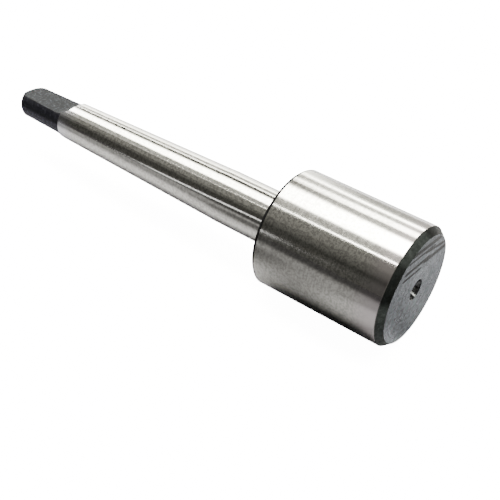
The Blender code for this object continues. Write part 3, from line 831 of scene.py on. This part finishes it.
def floor_light(nodes, level):
    """How much light the floor sends up at each place, painted into its colour with a shadow and pools of
    light, and so how bright the tool sees it.
    """
    place = nodes.new("ShaderNodeTexCoord").outputs["Object"]
    scaling = nodes.new("ShaderNodeVectorMath", {0: place, "Scale": 1 / MM}, operation="SCALE")
    in_mm = scaling.outputs[0]
    x, y = nodes.new("ShaderNodeSeparateXYZ", {0: in_mm}).outputs[:2]
    past_end = nodes.math("SUBTRACT", nodes.distance(x, SHANK_MIDDLE), SHANK_HALF_LENGTH)
    past_end = nodes.math("MAXIMUM", past_end, 0.0)
    squares = nodes.math("ADD", nodes.math("POWER", past_end, 2.0), nodes.math("MULTIPLY", y, y))
    from_shank = nodes.math("SQRT", squares)

    def faded(middle, fade, low, high):
        centre = (*middle, level / MM)
        away = nodes.new("ShaderNodeVectorMath", {0: in_mm, 1: centre}, operation="DISTANCE")
        return nodes.ramp(away.outputs["Value"], *fade, low, high)

    light = nodes.ramp(from_shank, *FLOOR_NEAR_FADE, FLOOR_UNDER_SHANK, FLOOR_ROUND_TOOL)
    light = nodes.mix(nodes.ramp(from_shank, *FLOOR_FAR_FADE), light, FLOOR_FAR)
    # Painted shadow beside the taper, then painted pools of light beside the head and before its face
    middle, fade, share = FLOOR_PAINTED_SHADOW
    light = nodes.math("MULTIPLY", light, faded(middle, fade, share, 1.0))
    for middle, fade, pool_light in FLOOR_PAINTED_POOLS:
        light = nodes.mix(faded(middle, fade, 0.0, 1.0), pool_light, light)
    return nodes.mix(nodes.ramp(y, *FLOOR_BEHIND_FADE), light, FLOOR_BEHIND)


def make_floor():
    """Plain pale floor that the head touches; the tool sees it darker than the camera does, with light and
    shade painted into that darker colour.
    """
    half = FLOOR_HALF_WIDTH
    level = HEAD_BOX[0].z * MM - FLOOR_GAP
    corners = [(-half, -half, level), (half, -half, level), (half, half, level), (-half, half, level)]
    mesh = bpy.data.meshes.new("floor")
    mesh.from_pydata(corners, [], [(0, 1, 2, 3)])
    floor = add_object("floor", mesh)
    material = bpy.data.materials.new("floor_paper")
    material.use_nodes = True
    nodes = Nodes(material.node_tree)
    pale = nodes.new("ShaderNodeBsdfPrincipled", {
        "Base Color": (FLOOR_ALBEDO, FLOOR_ALBEDO, FLOOR_ALBEDO, 1.0),
        "Roughness": 1.0,
        "Specular IOR Level": 0.0,
        "Emission Color": (1.0, 1.0, 1.0, 1.0),
        "Emission Strength": FLOOR_GLOW,
    })
    light = floor_light(nodes, level)
    blue = nodes.math("MULTIPLY", light, FLOOR_BLUE_SHARE)
    dull = nodes.new("ShaderNodeBsdfDiffuse", {"Color": nodes.combine(light, light, blue)})
    seen = nodes.new("ShaderNodeLightPath").outputs["Is Camera Ray"]
    mix = nodes.new("ShaderNodeMixShader", {0: seen, 1: dull.outputs[0], 2: pale.outputs[0]})
    nodes.new("ShaderNodeOutputMaterial", {"Surface": mix.outputs[0]})
    mesh.materials.append(material)


def make_reflector():
    """Slim bright bar that draws the fine line of light along the front of the shank."""
    high, low = [Vector(end) * MM for end in REFLECTOR_ENDS]
    across = Vector((0, 0, REFLECTOR_WIDTH / 2 * MM))
    mesh = bpy.data.meshes.new("reflector")
    mesh.from_pydata([high + across, low + across, low - across, high - across], [], [(0, 1, 2, 3)])
    reflector = add_object("reflector", mesh)
    material = bpy.data.materials.new("reflector_card")
    material.use_nodes = True
    nodes = Nodes(material.node_tree)
    card = nodes.new("ShaderNodeEmission", {"Strength": REFLECTOR_BRIGHTNESS})
    nodes.new("ShaderNodeOutputMaterial", {"Surface": card.outputs[0]})
    mesh.materials.append(material)
    reflector.visible_camera = False
    reflector.visible_diffuse = False
    reflector.visible_shadow = False


def make_camera():
    """Camera at the photographer's viewing angle."""
    camera = bpy.data.objects.new("camera", bpy.data.cameras.new("camera"))
    bpy.context.scene.collection.objects.link(camera)
    bpy.context.scene.camera = camera
    camera.data.lens = CAMERA_LENS
    camera.data.clip_start, camera.data.clip_end = CAMERA_CLIP
    back = Vector((
        math.sin(CAMERA_AZIMUTH) * math.cos(CAMERA_ELEVATION),
        -math.cos(CAMERA_AZIMUTH) * math.cos(CAMERA_ELEVATION),
        math.sin(CAMERA_ELEVATION),
    ))
    camera.location = CAMERA_TARGET + back * CAMERA_DISTANCE
    turn = (-back).to_track_quat("-Z", "Y") @ Quaternion((0, 0, 1), CAMERA_ROLL)
    camera.rotation_mode = "QUATERNION"
    camera.rotation_quaternion = turn


make_camera()
make_world()
make_floor()
make_reflector()

shank_steel = ground_steel(
    "shank_steel", (0.73, 0.72, 0.69), roughness=0.12, marks_per_mm=7.0, tint=TANG_TINT
)
# The tang's scale, with its upper half painted dark as shade and its lower half painted light
tang_scale_and_painted_shade = dead_scale(
    "tang_scale_and_painted_shade",
    light=(0.0172, 0.0168, 0.0240),
    dark=(0.0100, 0.0098, 0.0155),
    roughness=0.45,
    specular=0.10,
    painted_shades=TANG_PAINTED_SHADE,
)
milled_scale = dead_scale(
    "milled_scale",
    light=(0.0106, 0.0118, 0.0145),
    dark=(0.0029, 0.0034, 0.0049),
    roughness=0.5,
    specular=0.04,
    rubbed_shade=3.6,
)
head_steel = ground_steel(
    "head_steel", (0.71, 0.70, 0.67), roughness=0.15, marks_per_mm=5.0, tint=FRONT_TINT
)
# The face's blued steel, painted darker towards its top as shade, with streaks of painted dark reflection
face_steel = blued_steel(
    "face_steel",
    light=(0.57, 0.612, 0.685),
    dark=(0.325, 0.35, 0.395),
    roughness=0.30,
    anisotropic=0.6,
    worn=[MOUTH_WEAR],
    streaks=FACE_PAINTED_REFLECTIONS,
    painted_shades=FACE_PAINTED_SHADE,
)
# The front chamfer's scale, painted darker on the +Y side and over its top, lighter on its upper left and
# much lighter on its lower left, where its sheen falls
edge_scale_and_painted_light = dead_scale(
    "edge_scale_and_painted_light",
    light=(0.0085, 0.0098, 0.0095),
    dark=(0.0045, 0.0054, 0.0052),
    roughness=0.40,
    specular=0.08,
    rubbed_shade=1.4,
    painted_shades=EDGE_PAINTED_LIGHT,
)
# The centre hole, painted nearly black as the shade in its recess, with a brighter worn band down its cone
# where the glint shows
hole_steel_painted_shade = blued_steel(
    "hole_steel_painted_shade",
    light=(0.055, 0.057, 0.061),
    dark=(0.030, 0.032, 0.035),
    roughness=0.10,
    anisotropic=0.0,
    worn=[CONE_WEAR],
)
# Painted shadow: the head's back rim, nearly black, as the dark line where the head meets the collar
rim_painted_shadow = dead_scale(
    "rim_painted_shadow", light=(0.004, 0.004, 0.0045), dark=(0.002, 0.002, 0.0024), roughness=0.9, specular=0.02
)
ring_steel = blued_steel(
    "ring_steel", light=(0.10, 0.11, 0.125), dark=(0.055, 0.06, 0.07), roughness=0.34, anisotropic=0.5
)

arbor = make_arbor()
assign_by_place(arbor, [shank_steel, tang_scale_and_painted_shade, milled_scale], arbor_zone)
head = make_head()
assign_by_place(head, [head_steel, face_steel, edge_scale_and_painted_light, hole_steel_painted_shade, rim_painted_shadow], head_zone)
finish_inner_pieces({
    "bearing_steel": bearing_steel(),
    "cage_brass": cage_brass(),
    "spring_steel": spring_steel(),
    "pressed_steel": pressed_steel(),
    "seal_rubber": seal_rubber(),
    "ring_steel": ring_steel,
})
